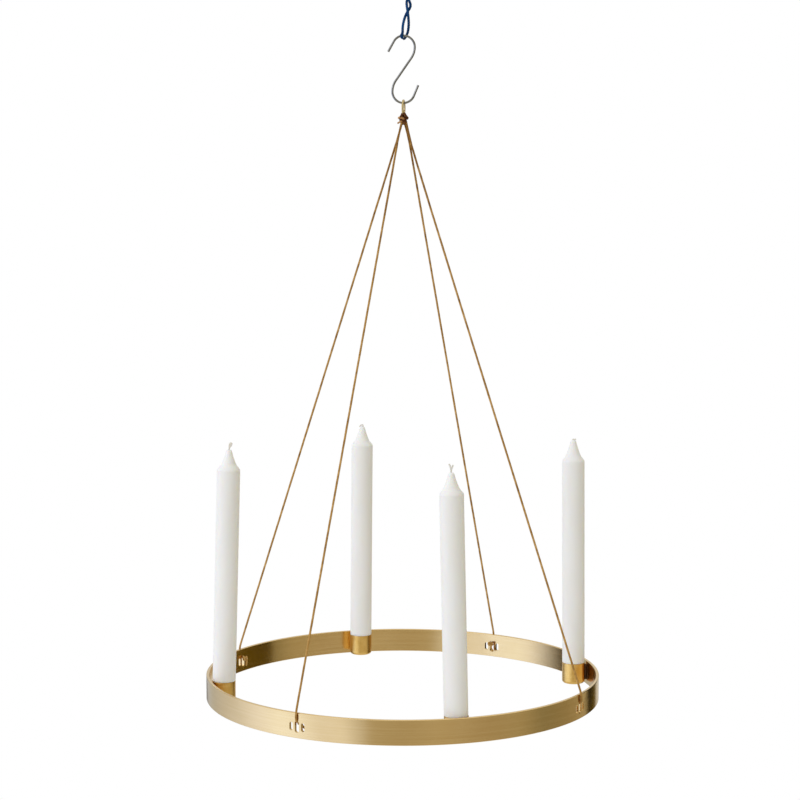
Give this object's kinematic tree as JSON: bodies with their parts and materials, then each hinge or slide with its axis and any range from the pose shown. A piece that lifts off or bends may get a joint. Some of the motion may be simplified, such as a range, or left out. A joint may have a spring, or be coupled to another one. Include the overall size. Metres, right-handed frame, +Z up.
{
  "type": "advent candle holder",
  "caption": "Hanging candle ring: a flat brushed brass hoop on leather cords gathered under an S-hook, with magnetic cups on its inner face that hold white dinner candles.",
  "frame": {"origin": "the point where the ceiling loop bears on the hook it hangs from", "axes": "+Z is up along the line the whole holder hangs on, +X is to the right in the picture, +Y is away from the camera"},
  "size_m": [0.3799, 0.38, 0.7171],
  "materials": {
    "hoop_brass": "satin, brushed along the hoop, plated on steel",
    "cup_brass": "satin drawn sheet",
    "ring_brass": "polished wire",
    "steel_wire": "satin wire",
    "magnet": "dull dark grey",
    "wax": "matte white wax",
    "wick": "braided cotton, waxed",
    "leather": "tan, slightly waxy",
    "blue_cord": "laid synthetic cord"
  },
  "bodies": {
    "loop_body": {"ceiling_loop": "blue_cord"},
    "cord_body": {"hanger_cord": "blue_cord"},
    "hook_body": {"s_hook": "steel_wire"},
    "ring_body": {"hanging_ring": "ring_brass"},
    "hoop_body": {"hoop_band": "hoop_brass", "top_knot": "leather", "leather_cord_back_right": "leather", "leather_cord_back_left": "leather", "leather_cord_front_left": "leather", "leather_cord_front_right": "leather", "stop_knot_back_right": "leather", "stop_knot_back_left": "leather", "stop_knot_front_left": "leather", "stop_knot_front_right": "leather"},
    "cup_right_body": {"cup_right": "cup_brass", "magnet_right": "magnet"},
    "cup_back_body": {"cup_back": "cup_brass", "magnet_back": "magnet"},
    "cup_left_body": {"cup_left": "cup_brass", "magnet_left": "magnet"},
    "cup_front_body": {"cup_front": "cup_brass", "magnet_front": "magnet"},
    "candle_right_body": {"candle_right": "wax", "wick_right": "wick"},
    "candle_back_body": {"candle_back": "wax", "wick_back": "wick"},
    "candle_left_body": {"candle_left": "wax", "wick_left": "wick"},
    "candle_front_body": {"candle_front": "wax", "wick_front": "wick"}
  },
  "joints": [
    {"name": "cord_twist", "type": "hinge", "parent": "loop_body", "child": "cord_body", "pos_m": [0, 0, -0.031], "axis": [0, 0, 1], "range_deg": [-180, 180]},
    {"name": "hook_swing", "type": "hinge", "parent": "cord_body", "child": "hook_body", "pos_m": [0, 0, -0.08465], "axis": [0, 1, 0], "range_deg": [-20, 20]},
    {"name": "ring_swing", "type": "hinge", "parent": "hook_body", "child": "ring_body", "pos_m": [0, 0, -0.1448], "axis": [1, 0, 0], "range_deg": [-25, 25]},
    {"name": "hoop_swing", "type": "hinge", "parent": "ring_body", "child": "hoop_body", "pos_m": [0, 0, -0.15605], "axis": [0.1392, 0.9903, 0], "range_deg": [-15, 15]},
    {"name": "cup_right_round", "type": "hinge", "parent": "hoop_body", "child": "cup_right_body", "pos_m": [0, 0, -0.70285], "axis": [0, 0, 1], "range_deg": [-38, 40]},
    {"name": "cup_back_round", "type": "hinge", "parent": "hoop_body", "child": "cup_back_body", "pos_m": [0, 0, -0.70285], "axis": [0, 0, 1], "range_deg": [-39, 40]},
    {"name": "cup_left_round", "type": "hinge", "parent": "hoop_body", "child": "cup_left_body", "pos_m": [0, 0, -0.70285], "axis": [0, 0, 1], "range_deg": [-36.5, 42]},
    {"name": "cup_front_round", "type": "hinge", "parent": "hoop_body", "child": "cup_front_body", "pos_m": [0, 0, -0.70285], "axis": [0, 0, 1], "range_deg": [-40, 38.5]},
    {"name": "candle_right_lift", "type": "slide", "parent": "cup_right_body", "child": "candle_right_body", "axis": [-0.0105, 0, 0.9999], "range_m": [0, 0.05]},
    {"name": "candle_back_lift", "type": "slide", "parent": "cup_back_body", "child": "candle_back_body", "axis": [0.007, 0, 1], "range_m": [0, 0.05]},
    {"name": "candle_left_lift", "type": "slide", "parent": "cup_left_body", "child": "candle_left_body", "axis": [0.0279, 0, 0.9996], "range_m": [0, 0.05]},
    {"name": "candle_front_lift", "type": "slide", "parent": "cup_front_body", "child": "candle_front_body", "axis": [-0.0244, 0, 0.9997], "range_m": [0, 0.05]}
  ]
}
